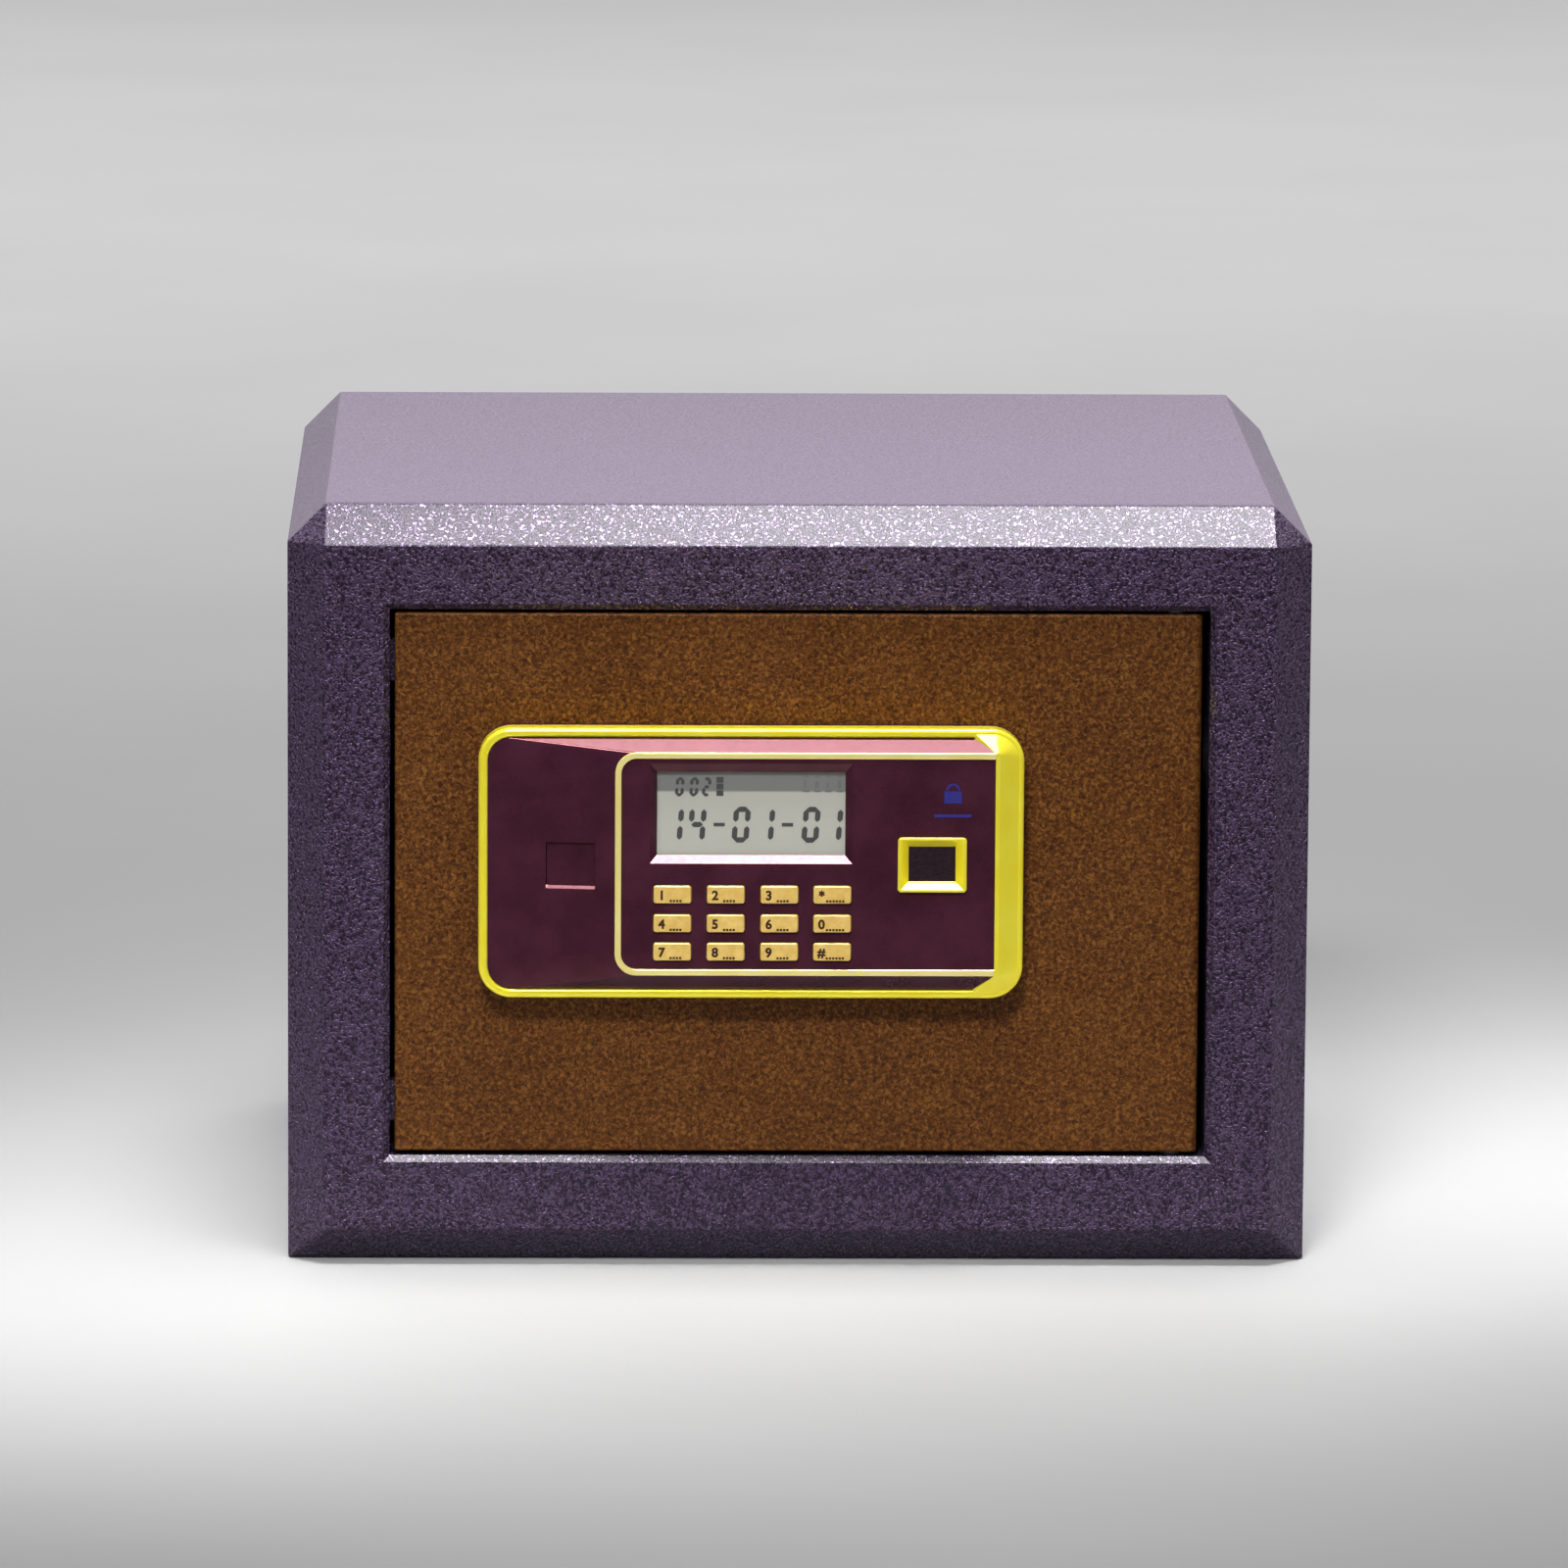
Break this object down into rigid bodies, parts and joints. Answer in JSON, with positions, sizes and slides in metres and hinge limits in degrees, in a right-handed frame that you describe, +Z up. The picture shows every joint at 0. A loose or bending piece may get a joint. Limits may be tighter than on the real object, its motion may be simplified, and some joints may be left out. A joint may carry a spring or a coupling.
{
  "type": "in room safe",
  "caption": "Small steel safe with a bevelled front frame, a right-hung door, motor-driven side bolts and a keypad, display and fingerprint lock panel.",
  "frame": {"origin": "centre of the body's bottom face", "axes": "+X to the right seen from the front, +Y to the back, +Z up; the door faces -Y"},
  "size_m": [0.4, 0.3565, 0.3],
  "materials": {
    "frame_paint": "fine textured powder coat, dark violet grey",
    "carpet": "low needle-felt carpet",
    "door_paint": "brown hammer-finish paint",
    "inner_paint": "textured powder coat",
    "bare_steel": "zinc plated",
    "bolt_chrome": "polished plate",
    "gear_brass": "machined",
    "lock_metal": "satin nickel",
    "motor_metal": "drawn steel can",
    "black_plastic": "moulded",
    "standoff_brass": "turned",
    "board_green": "solder mask",
    "cell_jacket": "shrink jacket",
    "contact_metal": "nickel plated spring steel",
    "gold_plate": "bright yellow gold plating",
    "panel_plastic": "gloss burgundy",
    "lens": "clear acrylic",
    "lcd_grey": "liquid crystal cell on a white tray",
    "mat_rubber": "silicone",
    "ribbon_plastic": "flat flexible cable",
    "print_glass": "dark coated glass",
    "sensor_black": "moulded",
    "reset_red": "moulded",
    "key_plastic": "pale gold coated"
  },
  "bodies": {
    "cabinet": {"front_frame": "frame_paint", "door_jamb": "frame_paint", "strike_plate": "frame_paint", "hinge_blocks": "frame_paint", "door_stops": "frame_paint", "body_wrap": "frame_paint", "floor_panel": "frame_paint", "back_panel": "frame_paint", "carpet_mat": "carpet"},
    "door": {"door_plate": "door_paint", "door_pan": "inner_paint", "inner_cover": "inner_paint", "hinge_lugs": "bare_steel", "hinge_pins": "bare_steel", "cover_screws": "bare_steel", "bolt_guides": "bare_steel", "carrier_studs": "bare_steel", "motor_bracket": "bare_steel", "panel_screws": "bare_steel", "key_cylinder": "lock_metal", "cylinder_nut": "lock_metal", "gearmotor": "motor_metal", "microswitch": "black_plastic", "board_components": "black_plastic", "battery_box": "black_plastic", "board_standoffs": "standoff_brass", "control_board": "board_green", "keypad_board": "board_green", "batteries": "cell_jacket", "battery_contacts": "contact_metal", "outer_trim": "gold_plate", "inner_trim": "gold_plate", "fingerprint_bezel": "gold_plate", "panel_housing": "panel_plastic", "lcd_window": "lens", "lcd_module": "lcd_grey", "keypad_mat": "mat_rubber", "keypad_ribbon": "ribbon_plastic", "fingerprint_window": "print_glass", "fingerprint_sensor": "sensor_black"},
    "bolt_work": {"locking_bolts": "bolt_chrome", "bolt_carrier": "bare_steel"},
    "pinion": {"drive_pinion": "gear_brass"},
    "override_plug": {"key_plug": "gear_brass", "override_cam": "lock_metal"},
    "reset_button": {"reset_button": "reset_red"},
    "battery_cover": {"battery_cover": "black_plastic"},
    "keyhole_cover": {"keyhole_cover": "panel_plastic"},
    "key_1": {"key_1": "key_plastic"},
    "key_2": {"key_2": "key_plastic"},
    "key_3": {"key_3": "key_plastic"},
    "key_star": {"key_star": "key_plastic"},
    "key_4": {"key_4": "key_plastic"},
    "key_5": {"key_5": "key_plastic"},
    "key_6": {"key_6": "key_plastic"},
    "key_0": {"key_0": "key_plastic"},
    "key_7": {"key_7": "key_plastic"},
    "key_8": {"key_8": "key_plastic"},
    "key_9": {"key_9": "key_plastic"},
    "key_hash": {"key_hash": "key_plastic"}
  },
  "joints": [
    {"name": "door_hinge", "type": "hinge", "parent": "cabinet", "child": "door", "pos_m": [0.147, -0.1585, 0.15195], "axis": [0, 0, 1], "range_deg": [0, 100]},
    {"name": "bolt_slide", "type": "slide", "parent": "door", "child": "bolt_work", "axis": [-1, 0, 0], "range_m": [0, 0.014]},
    {"name": "pinion_turn", "type": "hinge", "parent": "door", "child": "pinion", "pos_m": [-0.08, -0.1565, 0.11075], "axis": [0, -1, 0], "range_deg": [0, 136]},
    {"name": "override_turn", "type": "hinge", "parent": "door", "child": "override_plug", "pos_m": [-0.0894, -0.16, 0.1611], "axis": [0, -1, 0], "range_deg": [0, 120]},
    {"name": "reset_press", "type": "slide", "parent": "door", "child": "reset_button", "axis": [0, -1, 0], "range_m": [0, 0.0012], "stiffness_N_per_m": 400, "springref_m": -0.001},
    {"name": "battery_flap", "type": "hinge", "parent": "door", "child": "battery_cover", "pos_m": [0.081, -0.1212, 0.059], "axis": [-1, 0, 0], "range_deg": [0, 110]},
    {"name": "keyhole_cover_pull", "type": "slide", "parent": "door", "child": "keyhole_cover", "axis": [-0.1218, -0.9926, 0], "range_m": [0, 0.03]},
    {"name": "key_1_press", "type": "slide", "parent": "door", "child": "key_1", "axis": [0, 1, 0], "range_m": [0, 0.0009], "stiffness_N_per_m": 500, "springref_m": -0.001},
    {"name": "key_2_press", "type": "slide", "parent": "door", "child": "key_2", "axis": [0, 1, 0], "range_m": [0, 0.0009], "stiffness_N_per_m": 500, "springref_m": -0.001},
    {"name": "key_3_press", "type": "slide", "parent": "door", "child": "key_3", "axis": [0, 1, 0], "range_m": [0, 0.0009], "stiffness_N_per_m": 500, "springref_m": -0.001},
    {"name": "key_star_press", "type": "slide", "parent": "door", "child": "key_star", "axis": [0, 1, 0], "range_m": [0, 0.0009], "stiffness_N_per_m": 500, "springref_m": -0.001},
    {"name": "key_4_press", "type": "slide", "parent": "door", "child": "key_4", "axis": [0, 1, 0], "range_m": [0, 0.0009], "stiffness_N_per_m": 500, "springref_m": -0.001},
    {"name": "key_5_press", "type": "slide", "parent": "door", "child": "key_5", "axis": [0, 1, 0], "range_m": [0, 0.0009], "stiffness_N_per_m": 500, "springref_m": -0.001},
    {"name": "key_6_press", "type": "slide", "parent": "door", "child": "key_6", "axis": [0, 1, 0], "range_m": [0, 0.0009], "stiffness_N_per_m": 500, "springref_m": -0.001},
    {"name": "key_0_press", "type": "slide", "parent": "door", "child": "key_0", "axis": [0, 1, 0], "range_m": [0, 0.0009], "stiffness_N_per_m": 500, "springref_m": -0.001},
    {"name": "key_7_press", "type": "slide", "parent": "door", "child": "key_7", "axis": [0, 1, 0], "range_m": [0, 0.0009], "stiffness_N_per_m": 500, "springref_m": -0.001},
    {"name": "key_8_press", "type": "slide", "parent": "door", "child": "key_8", "axis": [0, 1, 0], "range_m": [0, 0.0009], "stiffness_N_per_m": 500, "springref_m": -0.001},
    {"name": "key_9_press", "type": "slide", "parent": "door", "child": "key_9", "axis": [0, 1, 0], "range_m": [0, 0.0009], "stiffness_N_per_m": 500, "springref_m": -0.001},
    {"name": "key_hash_press", "type": "slide", "parent": "door", "child": "key_hash", "axis": [0, 1, 0], "range_m": [0, 0.0009], "stiffness_N_per_m": 500, "springref_m": -0.001}
  ],
  "couplings": [
    {"joint": "pinion_turn", "follows": "bolt_slide", "rad_per_m": 166.67}
  ]
}
